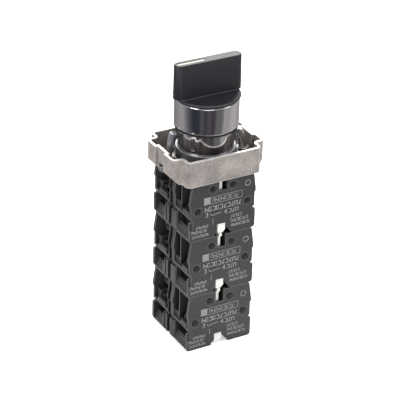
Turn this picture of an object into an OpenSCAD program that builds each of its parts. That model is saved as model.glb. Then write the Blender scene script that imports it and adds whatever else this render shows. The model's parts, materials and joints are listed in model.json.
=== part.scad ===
// Selector switch for a 22 mm panel hole, with a die-cast collar and six stacked contact blocks.
// The origin is on the switch's axis, in the plane that seats on the panel. +Z points to the user.
// The knob lies along X. Blocks a1 to a3 stand in front (-Y) and b1 to b3 behind, tier 1 on top.

/* [Knob] */
// Length of the knob's wing
wing_l = 28.8; // [24:0.1:34]
// Thickness of the wing at its top
wing_t = 4.8; // [4:0.1:7]
// How much thicker the wing is at its foot
wing_draft = 1.2; // [0:0.1:2]
// Height of the wing above the knob's skirt
wing_h = 14; // [9:0.1:20]
// How far the knob's round skirt stands out beyond the bezel
skirt_lip = 0.5; // [0.2:0.1:1.5]
// Thickness of the skirt
skirt_t = 0.9; // [0.8:0.1:2]
// Diameter of the spigot that keys the knob to the cam drum
spigot_d = 7; // [5:0.1:8]
// Length of the spigot
spigot_l = 6; // [4:0.1:8]
// Width of the pale marker strip
marker_w = 1.5; // [1:0.1:2.4]
// Length of the marker strip
marker_l = 12; // [6:0.1:12.6]
// Depth of the marker's groove
marker_depth = 1; // [0.6:0.1:1.6]

/* [Bezel and barrel] */
// How far the chromed bezel stands out round the barrel
bezel_lip = 1.6; // [1.4:0.1:3]
// Height of the bezel above its gasket
bezel_h = 11.4; // [10:0.1:16]
// Diameter of the barrel that passes through the panel
barrel_d = 22; // [21.4:0.1:22.4]
// Thickness of the barrel's wall round the cam drum
barrel_wall = 1.8; // [1.5:0.1:2]
// Thickness of the gasket under the bezel
gasket_t = 0.7; // [0.5:0.1:1.5]
// Radius of the bezel's edges
bezel_edge_r = 0.4; // [0.2:0.1:0.8]
// Width of the lug that keeps the barrel from turning in its hole
lug_w = 2.6; // [2:0.1:3]
// How far the lug stands out of the barrel
lug_rise = 0.7; // [0.5:0.1:1]

/* [Cam and pushers] */
// Diameter of the knob shaft
shaft_d = 12.8; // [11:0.1:13.4]
// Length of the shaft's bearing in the bezel
bearing_l = 7.1; // [6:0.1:9]
// Height of the drum above its ramps
drum_h = 11.3; // [9:0.1:13]
// Travel of a pusher over the knob's quarter turn
stroke = 4.3; // [3.5:0.1:4.5]
// Quarter turn of the knob, in degrees
turn = 90; // [80:5:90]
// Least height of a ramp below the drum
ramp_min = 0.5; // [0.3:0.1:1]
// Radial width of a ramp
ramp_w = 3.9; // [3:0.1:4.2]
// Width of a pusher across the ramp
pusher_w = 2.4; // [2:0.1:2.6]
// Thickness of the guide plate
guide_t = 1.4; // [1:0.1:2]
// Diameter of the click ball
ball_d = 2; // [1.5:0.1:2.4]

/* [Collar] */
// Length of the collar, end to end
collar_l = 40.8; // [39:0.1:46]
// Height of the collar
collar_h = 10.7; // [9.5:0.1:11.5]
// Thickness of the collar's walls
collar_wall = 1.1; // [0.9:0.1:1.4]
// Thickness of the collar's floor
floor_t = 2; // [1.6:0.1:2.6]
// Width of the collar's end bays
bay_w = 21.4; // [18:0.1:23]
// Radius of the collar's corners
corner_r = 2; // [1.5:0.1:2.5]
// Width of the recess in the middle of each end wall
notch_w = 6.6; // [6:0.1:8]
// Depth of that recess
notch_depth = 1.1; // [0.6:0.1:1.2]
// Radius of the gap between the barrel and the boss ring round it
boss_gap = 1.5; // [1.3:0.1:1.6]
// Thickness of the boss ring
boss_t = 0.5; // [0.4:0.1:0.7]
// Height of the boss ring above the floor
boss_h = 2.3; // [2:0.1:4]
// Thickness of the lock ring's tube round the barrel
lock_tube_t = 0.7; // [0.5:0.1:1]
// Turn of the lock ring from locked to open, in degrees
lock_turn = 18; // [12:1:20]
// Diameter of the slanted fixing screws
fix_d = 3.2; // [3:0.1:3.5]
// How far the fixing screws' lower ends stand out beyond the blocks
fix_foot = 1.45; // [1.3:0.05:2]
// Thickness of the panel that the left screw stands set for
panel_t = 2; // [1:0.1:2.5]

/* [Contact blocks] */
// Length of a contact block
block_l = 29.3; // [29:0.1:32]
// Thickness of a contact block
block_w = 14.4; // [14:0.1:15]
// Height of a contact block
block_h = 24.95; // [24.5:0.05:27]
// Gap between the two columns of blocks
column_gap = 0.6; // [0.4:0.1:1]
// Gap between one tier and the next
tier_gap = 0.2; // [0.2:0.05:0.4]
// Thickness of the label-side cover
cover_t = 1.1; // [0.9:0.1:1.3]
// Diameter of the pins that hold cover and housing together
pin_d = 2.6; // [2:0.1:2.8]
// Height of the stem above its block
stem_rise = 0.6; // [0.5:0.1:0.8]
// Width of the plunger's stem
stem_w = 1.2; // [1:0.1:1.4]
// Height of the foot above the block's underside
foot_z = 0.7; // [0.6:0.1:0.9]
// Width of the slot that the stem runs in, and the foot of the block above
slot_w = 3.6; // [3.3:0.1:3.8]
// Depth of that slot in the cover
slot_depth = 5.3; // [5:0.1:6]
// Thickness of a terminal strip
strip_t = 1; // [0.8:0.05:1]
// Diameter of a terminal screw's shank
screw_d = 3; // [2.5:0.1:3.2]
// Diameter of a terminal screw's head
screw_head_d = 4.4; // [4:0.1:4.6]
// Diameter of a contact tip
tip_d = 2.2; // [1.8:0.1:2.4]
// Opening between the contacts
contact_gap = 2.8; // [2.7:0.1:3]

/* [Hidden] */
COLUMNS = ["a", "b"];
TIERS = [1, 2, 3];
BLOCK_PIECES = ["housing_", "cover_", "plunger_", "bridge_", "terminals_", "return_spring_",
    "contact_spring_"];
$fn = 64;

// Clearances
run = 0.05;
slide_gap = 0.1;
rest_gap = 0.3;
over = 1;

// Levels of the head, from the knob down
bezel_d = barrel_d + 2*bezel_lip;
skirt_d = bezel_d + 2*skirt_lip;
bezel_top = gasket_t + bezel_h;
skirt_z = bezel_top + 0.5;
wing_z = skirt_z + skirt_t;
knob_top = wing_z + wing_h;
shoulder_z = bezel_top - bearing_l;
drum_top = shoulder_z - rest_gap;
drum_z = drum_top - drum_h;

// Ramps: the height grows evenly with the angle, and a pusher starts at ramp_lead past the low end
ramp_lead = 12;
ramp_rate = stroke/turn;
ramp_end = turn + 2*ramp_lead;
ramp_zero = drum_z - ramp_min - ramp_lead*ramp_rate;
nose_top = ramp_zero - rest_gap;
pusher_collar_h = 0.6;
pusher_head = 1.5;
guide_top = nose_top - pusher_head - stroke - slide_gap;
guide_z = guide_top - guide_t;
barrel_z = guide_z - 0.2;
barrel_bore = barrel_d/2 - barrel_wall;
drum_d = 2*(barrel_bore - slide_gap);
ramp_r = barrel_bore - 0.3;
pusher_r = ramp_r - ramp_w/2 + run;
ball_r_pos = barrel_bore - ball_d/2 - run;
ball_hole_end = ball_r_pos - ball_d/2 - 3.2;

// Levels of the collar and the blocks
tier1_top = barrel_z - 1.2;
pitch = block_h + tier_gap;
floor_z = tier1_top + tier_gap;
floor_top = floor_z + floor_t;
skirt_drop = 1;
collar_z = floor_z - skirt_drop;
collar_top = collar_z + collar_h;
body_half_w = block_w + column_gap/2;
pusher_z = tier1_top + stem_rise + rest_gap;
function tier_z(tier) = tier1_top - block_h - (tier - 1)*pitch;

// Collar outline
neck_half_l = block_l/2 + 1.65;
neck_half_w = body_half_w + 0.8;
bay_half_l = collar_l/2;
bay_half_w = bay_w/2;
step_r = 1;
boss_r = barrel_d/2 + boss_gap;

// Lock ring
lock_z = floor_top + 0.25;
lock_t = 1.5;
lock_r = boss_r - 0.15;
lock_tooth_r = barrel_d/2 - 0.65;
lock_tooth_half = 12;
lock_arm_angle = 205;
lock_arm_r = neck_half_l + 0.7;
lock_arm_w = 3.2;
lock_slot_half = asin((lock_arm_w/2 + 0.6)/boss_r);
lock_tube_top = collar_top - 1.8;
lock_groove_r = lock_tooth_r - 0.15;

// Fixing screws: each leans from the barrel's side out to its head, beyond the blocks and their hooks
fix_tip = [-barrel_d/2 - 1.35, 3, -0.2];
fix_drop = [panel_t + 0.1 + fix_tip[2], 2.6];
fix_head_d = 5.2;
fix_head_h = 1.8;
fix_boss_r = 2.5;
fix_boss_h = 3;
fix_slant = atan((block_l/2 + fix_foot + fix_tip[0])/(fix_tip[2] - floor_z));
fix_l = (fix_tip[2] - floor_z)/cos(fix_slant) - 0.6;
fix_bay_l = 4;
fix_bay_side = 0.7;
fix_bay_h = 1.4;

// Block features, in the block's own frame: X along it, Y from the label face, Z from its underside
half_l = block_l/2;
top_inset = 1.5;
waist = 0.45;
latch_z = 8.3;
latch_depth = 1.1;
ledge_z = 9.65;
ledge_top = 11;
chamber_half_l = 5.3;
chamber_z = 2;
chamber_top = 19;
chamber_back = block_w - 1.6;
pocket_z = 14.2;
pocket_top = block_h - 0.95;
pocket_back = 6.4;
window_back = block_w - 2;
rib_back = window_back - 3;
window_depth = 1.4;
side_slot_depth = 3.4;
strip_x = chamber_half_l + 1.05;
strip_y = [cover_t + 0.5, 5.9];
leg_z = 5.6;
leg_t = 0.8;
leg_inner = 2.6;
tip_h = 0.7;
tip_x = 3.9;
tip_y = 4.4;
fixed_tip_top = leg_z + leg_t + tip_h;
bridge_z = fixed_tip_top + contact_gap + tip_h;
bridge_t = 0.6;
bridge_w = 3.2;
bridge_half_l = chamber_half_l - 0.4;
plunger_front = cover_t + 0.4;
plunger_back = chamber_back - 0.8;
shelf_z = 9.5;
window_z = bridge_z - 0.2;
window_h = 5.6;
window_top = window_z + window_h;
plunger_top = window_top + 1;
slot_x = -0.1;
foot_w = slot_w - 2*slide_gap;
foot_back = 5;
foot_top = 4.95;
stem_x = -1;
stem_back = body_half_w - pusher_r + 1.8;
stem_front_z = block_h - slot_depth + stroke + 0.2;
face_gap = 0.5;
slot_back = stem_back + 0.4;
spring_y = 9.3;
spring_r = 2;
spring_wire = 0.5;
contact_spring_r = 1.1;
contact_spring_wire = 0.3;
screw_y = 3.8;
screw_z = (pocket_z + pocket_top)/2;
screw_head_h = 1.9;
washer_t = 0.8;
washer_w = 4.2;
pin_x = [4.45, 11];
pin_drop = [4, 12.6];
pin_spots = [for (i = [0, 1], side = [-1, 1]) [side*pin_x[i], block_h - pin_drop[i]]];
pin_l = 5.7;
pin_sink = 0.15;
pin_dome = 0.4;
hook_x = 12.3;
hook_t = 1.2;
hook_y = [5.5, 10.5];
hook_rise = 2.2;
hook_room = 0.25;

// Colours
knob_black = [0.16, 0.16, 0.17];
marker_cream = [0.85, 0.83, 0.78];
chrome = [0.72, 0.72, 0.74];
rubber = [0.05, 0.05, 0.05];
zinc = [0.66, 0.63, 0.60];
steel = [0.58, 0.59, 0.60];
block_grey = [0.24, 0.23, 0.23];
inner_grey = [0.14, 0.14, 0.14];
white = [0.93, 0.93, 0.9];
brass = [0.78, 0.62, 0.32];
silver = [0.8, 0.8, 0.8];

// A box from its lowest to its highest corner
module span(lo, hi) {
    translate(lo) cube(hi - lo);
}

// A rectangle with true round corners
module round_rect(half_x, half_y, r) {
    square([2*half_x, 2*(half_y - r)], center = true);
    square([2*(half_x - r), 2*half_y], center = true);
    for (x = [-1, 1], y = [-1, 1]) translate([x*(half_x - r), y*(half_y - r)]) circle(r = r, $fn = 32);
}

// A slot shape: two round ends joined by straight sides
module stadium(length, width) {
    square([length - width, width], center = true);
    for (x = [-1, 1]) translate([x*(length - width)/2, 0]) circle(d = width, $fn = 32);
}

// Part of a flat ring between two angles
module ring_sector(r_in, r_out, from, to) {
    intersection() {
        difference() {
            circle(r = r_out, $fn = 96);
            circle(r = r_in, $fn = 96);
        }
        polygon(concat([[0, 0]], [for (i = [0:4]) let (a = from + (to - from)*i/4)
            1.5*r_out*[cos(a), sin(a)]]));
    }
}

// Extrudes an XZ outline along Y, between two depths
module slab(front, back) {
    translate([0, back, 0]) rotate([90, 0, 0]) linear_extrude(back - front) children();
}

// A coil spring along Z, swept as one closed tube
module coil(radius, wire, length, turns, steps, sides) {
    rings = turns*steps;
    rise = length - wire;
    function at(i, j) = let (a = 360*i/steps, b = 360*j/sides, r = radius + wire/2*cos(b))
        [r*cos(a), r*sin(a), wire/2 + rise*i/rings + wire/2*sin(b)];
    points = [for (i = [0:rings], j = [0:sides - 1]) at(i, j)];
    walls = [for (i = [0:rings - 1], j = [0:sides - 1]) let (k = (j + 1) % sides)
        each [[i*sides + j, (i + 1)*sides + j, (i + 1)*sides + k],
            [i*sides + j, (i + 1)*sides + k, i*sides + k]]];
    first = [for (j = [0:sides - 1]) j];
    last = [for (j = [sides - 1:-1:0]) rings*sides + j];
    polyhedron(points, concat(walls, [first, last]));
}

// Knob: a drafted wing on a round skirt, keyed to the drum by a flatted spigot
module wing() {
    edge = 0.5;
    hull() {
        linear_extrude(0.1) stadium(wing_l + 0.2, wing_t + wing_draft);
        translate([0, 0, wing_h - edge]) linear_extrude(0.1) stadium(wing_l, wing_t);
        translate([0, 0, wing_h - 0.1]) linear_extrude(0.1) stadium(wing_l - edge, wing_t - edge);
    }
}

module spigot(play) {
    intersection() {
        cylinder(h = spigot_l + play, d = spigot_d + 2*play);
        translate([-spigot_d, -spigot_d, 0])
            cube([1.8*spigot_d + play, 2*spigot_d, spigot_l + over]);
    }
}

module marker_shape(play) {
    translate([-wing_l/2 + 1 + marker_l/2, 0]) stadium(marker_l + 2*play, marker_w + 2*play);
}

module knob() {
    color(knob_black) difference() {
        union() {
            translate([0, 0, skirt_z]) rotate_extrude($fn = 96) polygon([[0, 0], [skirt_d/2 - 0.2, 0],
                [skirt_d/2, 0.2], [skirt_d/2, skirt_t - 0.35], [skirt_d/2 - 0.35, skirt_t], [0, skirt_t]]);
            translate([0, 0, wing_z - 0.05]) wing();
            translate([0, 0, skirt_z - spigot_l]) spigot(0);
        }
        translate([0, 0, knob_top - 0.05 - marker_depth]) linear_extrude(marker_depth + over)
            marker_shape(0.15);
    }
}

module marker_insert() {
    color(marker_cream) translate([0, 0, knob_top - 0.05 - marker_depth])
        linear_extrude(marker_depth - 0.2) marker_shape(0);
}

// Bezel and barrel: one turned piece, stepped inside for the shaft and the drum, with a lug at the back
module operator_body() {
    r = bezel_d/2;
    e = bezel_edge_r;
    well_r = shaft_d/2 + 1.2;
    plate_r = barrel_bore + 0.4;
    color(chrome) difference() {
        union() {
            rotate_extrude($fn = 96) polygon(concat(
                [[shaft_d/2 + run, bezel_top], [shaft_d/2 + run, shoulder_z], [barrel_bore, shoulder_z],
                 [barrel_bore, guide_top], [plate_r, guide_top], [plate_r, barrel_z],
                 [barrel_d/2 - 0.3, barrel_z], [barrel_d/2, barrel_z + 0.3], [barrel_d/2, gasket_t]],
                [for (a = [-90:30:0]) [r - e + e*cos(a), gasket_t + e + e*sin(a)]],
                [for (a = [0:30:90]) [r - e + e*cos(a), bezel_top - e + e*sin(a)]]));
            intersection() {
                span([-lug_w/2, barrel_d/2 - 0.6, -2.8], [lug_w/2, barrel_d/2 + lug_rise, gasket_t + run]);
                translate([0, 0, shoulder_z - barrel_d]) cylinder(h = barrel_d, r = barrel_d/2 + lug_rise,
                    $fn = 96);
            }
        }
        // Well under the knob's skirt
        translate([0, 0, shoulder_z + 2]) linear_extrude(bearing_l) difference() {
            circle(r = bezel_d/2 - 1.2, $fn = 96);
            circle(r = well_r, $fn = 96);
        }
        // Grooves that the click ball drops into at both ends of the turn
        for (a = [0, -turn]) rotate([0, 0, a]) translate([barrel_bore - 0.3, 0, barrel_z - over])
            cylinder(h = over + ball_d - barrel_z, d = ball_d, $fn = 32);
        // Bayonet grooves for the lock ring's two teeth
        for (a = [90, 270]) rotate([0, 0, a]) {
            translate([0, 0, lock_z - 0.15]) linear_extrude(lock_t + 0.3) ring_sector(lock_groove_r,
                barrel_d/2 + over, -lock_turn - lock_tooth_half - 2, lock_tooth_half + 2);
            translate([0, 0, barrel_z - over]) linear_extrude(lock_z + lock_t - barrel_z + over)
                ring_sector(lock_groove_r, barrel_d/2 + over, -lock_turn - lock_tooth_half - 2,
                    -lock_turn + lock_tooth_half + 2);
        }
    }
}

// Gasket under the bezel, notched for the lug
module panel_gasket() {
    color(rubber) linear_extrude(gasket_t) difference() {
        circle(r = bezel_d/2 - 0.1, $fn = 96);
        circle(r = barrel_d/2 + run, $fn = 96);
        translate([-lug_w/2 - slide_gap, 0]) square([lug_w + 2*slide_gap, barrel_d/2 + lug_rise + slide_gap]);
    }
}

// Cam drum: the shaft, the drum and two helical ramps, half a turn apart
function ramp_height(a) = let (b = (a + ramp_lead + 90) % 180)
    ramp_min + ramp_rate*(b <= ramp_end ? b : ramp_end*(180 - b)/(180 - ramp_end));

module ramps() {
    steps = 60;
    inner = ramp_r - ramp_w;
    embed = 0.4;
    function at(i, r, z) = let (a = 360*i/steps) [r*cos(a), r*sin(a), z];
    points = [for (i = [0:steps - 1]) let (z = drum_z - ramp_height(360*i/steps + 360))
        each [at(i, inner, z), at(i, ramp_r, z),
            at(i, ramp_r, drum_z + embed), at(i, inner, drum_z + embed)]];
    faces = [for (i = [0:steps - 1], j = [0:3]) let (n = (i + 1) % steps, k = (j + 1) % 4)
        each [[4*i + j, 4*n + k, 4*n + j], [4*i + j, 4*i + k, 4*n + k]]];
    polyhedron(points, faces);
}

module cam_drum() {
    seal_z = (shoulder_z + bezel_top)/2;
    seal_t = 1.1;
    hollow_r = ramp_r - ramp_w - 0.6;
    color(inner_grey) difference() {
        union() {
            translate([0, 0, drum_z]) cylinder(h = drum_h, d = drum_d, $fn = 96);
            translate([0, 0, drum_top - 0.1]) cylinder(h = skirt_z - drum_top + 0.1, d = shaft_d, $fn = 96);
            ramps();
        }
        translate([0, 0, seal_z - seal_t/2]) linear_extrude(seal_t) difference() {
            circle(d = shaft_d + over, $fn = 96);
            circle(d = shaft_d - 1.9, $fn = 96);
        }
        translate([0, 0, skirt_z - spigot_l - run]) spigot(run);
        translate([0, 0, drum_z - over]) cylinder(h = 3 + over, r = hollow_r);
        translate([ball_hole_end, 0, 0]) rotate([0, 90, 0])
            cylinder(h = drum_d, d = ball_d + 2*run, $fn = 32);
    }
}

module shaft_seal() {
    color(rubber) translate([0, 0, (shoulder_z + bezel_top)/2]) rotate_extrude($fn = 96)
        translate([shaft_d/2 - 0.48, 0]) circle(r = 0.46, $fn = 24);
}

module detent_ball() {
    color(steel) translate([ball_r_pos, 0, 0]) sphere(d = ball_d, $fn = 32);
}

module detent_spring() {
    color(steel) translate([ball_hole_end + run, 0, 0]) rotate([0, 90, 0])
        coil(radius = ball_d/2 - 0.25, wire = 0.3, length = 3.1, turns = 5, steps = 8, sides = 5);
}

// Guide plate: closes the barrel and steers the pushers
module guide_plate() {
    color(inner_grey) translate([0, 0, guide_z]) linear_extrude(guide_t) difference() {
        circle(r = barrel_bore + 0.4 - run, $fn = 96);
        for (y = [-1, 1]) translate([0, y*pusher_r])
            square([pusher_w + 2*slide_gap, pusher_w + 0.2 + 2*slide_gap], center = true);
        circle(r = 2);
    }
}

module pusher(side) {
    w = pusher_w;
    d = pusher_w + 0.2;
    color(white) translate([0, side*pusher_r, 0]) {
        span([-w/2, -d/2, pusher_z], [w/2, d/2, nose_top - w/2]);
        translate([0, d/2, nose_top - w/2]) rotate([90, 0, 0]) cylinder(h = d, d = w, $fn = 32);
        translate([0, 0, nose_top - pusher_head]) linear_extrude(pusher_collar_h)
            square([w + 1, d + 0.8], center = true);
    }
}

// Collar: a thin-walled casting, narrower at its end bays, with a boss ring and two slanted screw bosses
module collar_outline(inset) {
    r = corner_r - inset*0.8;
    round_rect(neck_half_l - inset, neck_half_w - inset, r);
    round_rect(bay_half_l - inset, bay_half_w - inset, r);
    // Hollow round in the corner between neck and bay
    for (x = [0, 1], y = [0, 1]) mirror([x, 0, 0]) mirror([0, y, 0]) difference() {
        translate([neck_half_l - inset - run, bay_half_w - inset - run]) square(step_r + inset + run);
        translate([neck_half_l + step_r, bay_half_w + step_r]) circle(r = step_r + inset, $fn = 32);
    }
}

module fix_axis(i) {
    rotate([0, 0, 180*i])
        translate([fix_tip[0], fix_tip[1], fix_tip[2] - fix_drop[i]])
        translate([-tan(fix_slant)*fix_drop[i], 0, 0]) rotate([0, fix_slant, 0]) children();
}

module fixing_screws() {
    color(steel) for (i = [0, 1]) fix_axis(i) {
        translate([0, 0, -fix_l]) cylinder(h = fix_l - 0.4, d = fix_d);
        translate([0, 0, -0.4 - run]) cylinder(h = 0.4 + run, d1 = fix_d, d2 = fix_d - 0.9);
        translate([0, 0, -fix_l]) difference() {
            cylinder(h = fix_head_h, d = fix_head_d);
            translate([0, 0, -over]) linear_extrude(1.9) square([fix_head_d + over, 0.8], center = true);
        }
    }
}

module collar_frame() {
    notch_x = bay_half_l - notch_depth;
    color(zinc) difference() {
        union() {
            difference() {
                translate([0, 0, collar_z]) linear_extrude(collar_h) collar_outline(0);
                translate([0, 0, floor_top]) linear_extrude(collar_h) difference() {
                    collar_outline(collar_wall);
                    for (x = [-1, 1]) translate([x*bay_half_l, 0])
                        square([2*(notch_depth + collar_wall), notch_w + 2*collar_wall], center = true);
                }
            }
            translate([0, 0, floor_top - run]) linear_extrude(boss_h + run) difference() {
                circle(r = boss_r + boss_t, $fn = 96);
                circle(r = boss_r, $fn = 96);
            }
            intersection() {
                for (i = [0, 1]) rotate([0, 0, 180*i]) translate(fix_tip) rotate([0, fix_slant, 0])
                    translate([0, 0, -2*fix_l]) cylinder(h = 3*fix_l, r = fix_boss_r);
                translate([0, 0, floor_top - run]) linear_extrude(fix_boss_h) collar_outline(collar_wall/2);
            }
        }
        // Recess in the middle of each end wall, open below for the screw's head
        for (x = [-1, 1]) translate([x*(notch_x + over), 0, collar_z - over])
            linear_extrude(collar_h + 2*over) square([2*over, notch_w], center = true);
        for (x = [-1, 1]) translate([x*bay_half_l, 0, collar_z - over])
            linear_extrude(floor_top - collar_z + over + fix_bay_h)
            square([2*fix_bay_l, notch_w - 2*fix_bay_side], center = true);
        // Slope under the outer edge of each end bay
        for (x = [0, 1]) mirror([x, 0, 0]) slab(-bay_half_w - over, bay_half_w + over) polygon([
            [bay_half_l - 3, collar_z], [bay_half_l - 3, collar_z - over],
            [bay_half_l + over, collar_z - over], [bay_half_l + over, collar_z + 4],
            [bay_half_l, collar_z + 3]]);
        // Seat for the top tier of blocks
        translate([0, 0, collar_z - over]) linear_extrude(skirt_drop + over)
            square([2*(half_l + 0.4), 2*(body_half_w + 0.15)], center = true);
        translate([0, 0, collar_z - over]) cylinder(h = collar_h, d = barrel_d + 0.3, $fn = 96);
        for (a = [0, 180]) rotate([0, 0, a]) span([slot_x - slot_w/2, -body_half_w, floor_z - over],
            [slot_x + slot_w/2, -barrel_d/2, floor_z + 0.8]);
        // Room for the lock ring and its lever
        translate([0, 0, floor_top]) cylinder(h = collar_h, r = boss_r, $fn = 96);
        translate([0, 0, floor_top]) linear_extrude(boss_h + over) ring_sector(boss_r - over,
            boss_r + over, lock_arm_angle - lock_turn - lock_slot_half, lock_arm_angle + lock_slot_half);
        // Slanted bores and their counterbores
        for (i = [0, 1]) rotate([0, 0, 180*i]) translate(fix_tip) rotate([0, fix_slant, 0]) {
            translate([0, 0, -2*fix_l]) cylinder(h = 3*fix_l, d = fix_d + 2*run);
            translate([0, 0, -2*fix_l]) cylinder(h = fix_l + fix_head_h + 0.2, d = fix_head_d + 0.6);
        }
        // Slots for the hooks of the top tier
        for (x = [0, 1], y = [0, 1]) mirror([x, 0, 0]) mirror([0, y, 0])
            hook_slot(floor_z - over, floor_t + 2*over);
    }
}

// Room for one hook of the rear column, at its right end
module hook_slot(z, height) {
    y0 = body_half_w - hook_y[1] - hook_room;
    y1 = body_half_w - hook_y[0] + hook_room;
    x = hook_x - hook_t/2 - hook_room;
    translate([x, y0, z]) cube([hook_t + 2*hook_room + 0.3, y1 - y0, height]);
}

// Lock ring: a tube with two inner teeth that hold the barrel, turned by a lever with a raised end
module lock_ring() {
    color(steel) translate([0, 0, lock_z]) {
        linear_extrude(lock_t) {
            difference() {
                circle(r = lock_r, $fn = 96);
                circle(r = barrel_d/2 + slide_gap, $fn = 96);
            }
            for (a = [90, 270]) ring_sector(lock_tooth_r, barrel_d/2 + 0.6, a - lock_tooth_half,
                a + lock_tooth_half);
            rotate([0, 0, lock_arm_angle]) translate([lock_r - 0.4, -lock_arm_w/2])
                square([lock_arm_r - lock_r + 0.4, lock_arm_w]);
        }
        linear_extrude(lock_tube_top - lock_z) difference() {
            circle(r = barrel_d/2 + slide_gap + lock_tube_t, $fn = 96);
            circle(r = barrel_d/2 + slide_gap, $fn = 96);
        }
        rotate([0, 0, lock_arm_angle]) translate([lock_arm_r - 1, -lock_arm_w/2, 0])
            cube([1, lock_arm_w, lock_t + 3]);
    }
}

// Places a piece of a block: column 0 faces -Y, and column 1 is turned half round to face +Y
module at_block(column, tier) {
    rotate([0, 0, 180*column]) translate([0, -body_half_w, tier_z(tier)]) children();
}

// Side view of a block: drawn in at the top, waisted, with a latch notch at each end
module block_outline() {
    side = [[half_l - 1, 0], [half_l - 0.3, 0.3], [half_l, 1], [half_l, latch_z],
        [half_l - latch_depth, latch_z + 0.2], [half_l - latch_depth, ledge_z - 0.3],
        [half_l - waist, ledge_z], [half_l - waist, pocket_z + 1.4], [half_l, pocket_z + 1.8],
        [half_l, pocket_z + 3], [half_l - top_inset + 0.4, block_h - 0.4], [half_l - top_inset, block_h]];
    polygon(concat(side, [for (i = [len(side) - 1:-1:0]) [-side[i][0], side[i][1]]]));
}

// Flared notch at the bottom, where the plunger's foot shows
module foot_notch() {
    left = slot_x - foot_w/2 - 0.55;
    right = slot_x + foot_w/2 + 0.45;
    polygon([[left - 1.1, -over], [left - 1.1, 0.9], [left, 1.8], [left, foot_top + 0.1],
        [right, foot_top + 0.1], [right, 3], [right + 2.3, 0], [right + 2.3, -over]]);
}

module pin_holes(depth) {
    for (p = pin_spots) translate([p[0], depth, p[1]]) rotate([90, 0, 0])
        cylinder(h = depth + over, d = pin_d + 2*run, $fn = 32);
}

// One end of a housing: the terminal window, the ledge with its tooth, and the sloped lower window
module end_cuts() {
    x_out = half_l + over;
    front = cover_t - over;
    tooth = 5.4;
    // Window over the whole terminal compartment, with a tooth left on the ledge
    translate([-x_out, 0, 0]) rotate([90, 0, 90]) linear_extrude(over + window_depth)
        polygon([[front, ledge_top], [tooth, ledge_top], [tooth + 0.3, ledge_top + 1.2],
            [tooth + 1.2, ledge_top + 1.2], [tooth + 1.2, ledge_top - 0.3], [window_back, ledge_top - 0.3],
            [window_back, pocket_top], [front, pocket_top]]);
    // Deep pocket for the terminal, and a shallow slot beyond the rib
    span([-x_out, front, pocket_z], [-strip_x + 0.1, pocket_back, pocket_top]);
    span([-x_out, rib_back, ledge_top + 2], [-half_l + side_slot_depth, window_back, pocket_top]);
    // Groove for the terminal strip and its leg
    span([-strip_x - strip_t - 0.1, front, leg_z - 0.2],
        [-strip_x + 0.1, strip_y[1] + 0.2, pocket_top - 0.1]);
    span([-strip_x - 0.1, front, leg_z - 0.2],
        [-chamber_half_l + over, strip_y[1] + 0.2, leg_z + leg_t + 0.2]);
    translate([-strip_x, screw_y, screw_z]) rotate([0, 90, 0])
        cylinder(h = 0.55, d = screw_d + 0.4, $fn = 32);
    // Lower window with a sloping floor
    slab(front, window_back - 2.5) polygon([[-x_out, ledge_z - 4.3], [-x_out, ledge_z],
        [-half_l + 2.5, ledge_z], [-half_l + 2.5, ledge_z - 1.4], [-half_l, ledge_z - 4.2]]);
    span([-x_out, window_back - 2.2, -over], [-half_l + 0.6, window_back - 1.2, ledge_z]);
    // Socket for the hook of the tier below
    span([-hook_x - hook_t/2 - hook_room - 0.3, hook_y[0] - hook_room, -over],
        [-hook_x + hook_t/2 + hook_room, hook_y[1] + hook_room, hook_rise + 0.4]);
}

module housing() {
    front = cover_t - over;
    color(block_grey) difference() {
        union() {
            slab(cover_t, block_w) block_outline();
            for (x = [0, 1]) mirror([x, 0, 0]) slab(hook_y[0], hook_y[1]) polygon([
                [hook_x - hook_t/2, block_h - 0.2], [hook_x + hook_t/2, block_h - 0.2],
                [hook_x + hook_t/2, block_h + hook_rise - 1],
                [hook_x + hook_t/2 + 0.3, block_h + hook_rise - 0.7],
                [hook_x + hook_t/2 - 0.3, block_h + hook_rise], [hook_x - hook_t/2, block_h + hook_rise]]);
        }
        span([-chamber_half_l, front, chamber_z], [chamber_half_l, chamber_back, chamber_top]);
        span([slot_x - slot_w/2, front, chamber_top - over], [slot_x + slot_w/2, slot_back, block_h + over]);
        slab(front, foot_back + 0.4) intersection() {
            foot_notch();
            translate([-half_l, -2*over]) square([block_l, chamber_z + 3*over]);
        }
        span([slot_x - slot_w/2 - 0.3, front, -over], [slot_x + slot_w/2 + 0.3, slot_back, stem_rise + 0.3]);
        pin_holes(cover_t + pin_l);
        end_cuts();
        mirror([1, 0, 0]) end_cuts();
    }
}

// Label-side cover, with the plunger's slot and notch and a finger recess at one corner
module cover() {
    color(block_grey) difference() {
        slab(0, cover_t) block_outline();
        slab(-over, cover_t + over) foot_notch();
        span([slot_x - slot_w/2, -over, block_h - slot_depth],
            [slot_x + slot_w/2, cover_t + over, block_h + over]);
        span([-half_l - over, -over, latch_z - 3.6], [-half_l + 1.5, 0.6, latch_z + 1.8]);
        pin_holes(cover_t + over);
        for (p = pin_spots) translate([p[0], 0.5, p[1]]) rotate([90, 0, 0])
            cylinder(h = over, d = pin_d + 1.2, $fn = 32);
    }
}

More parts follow.
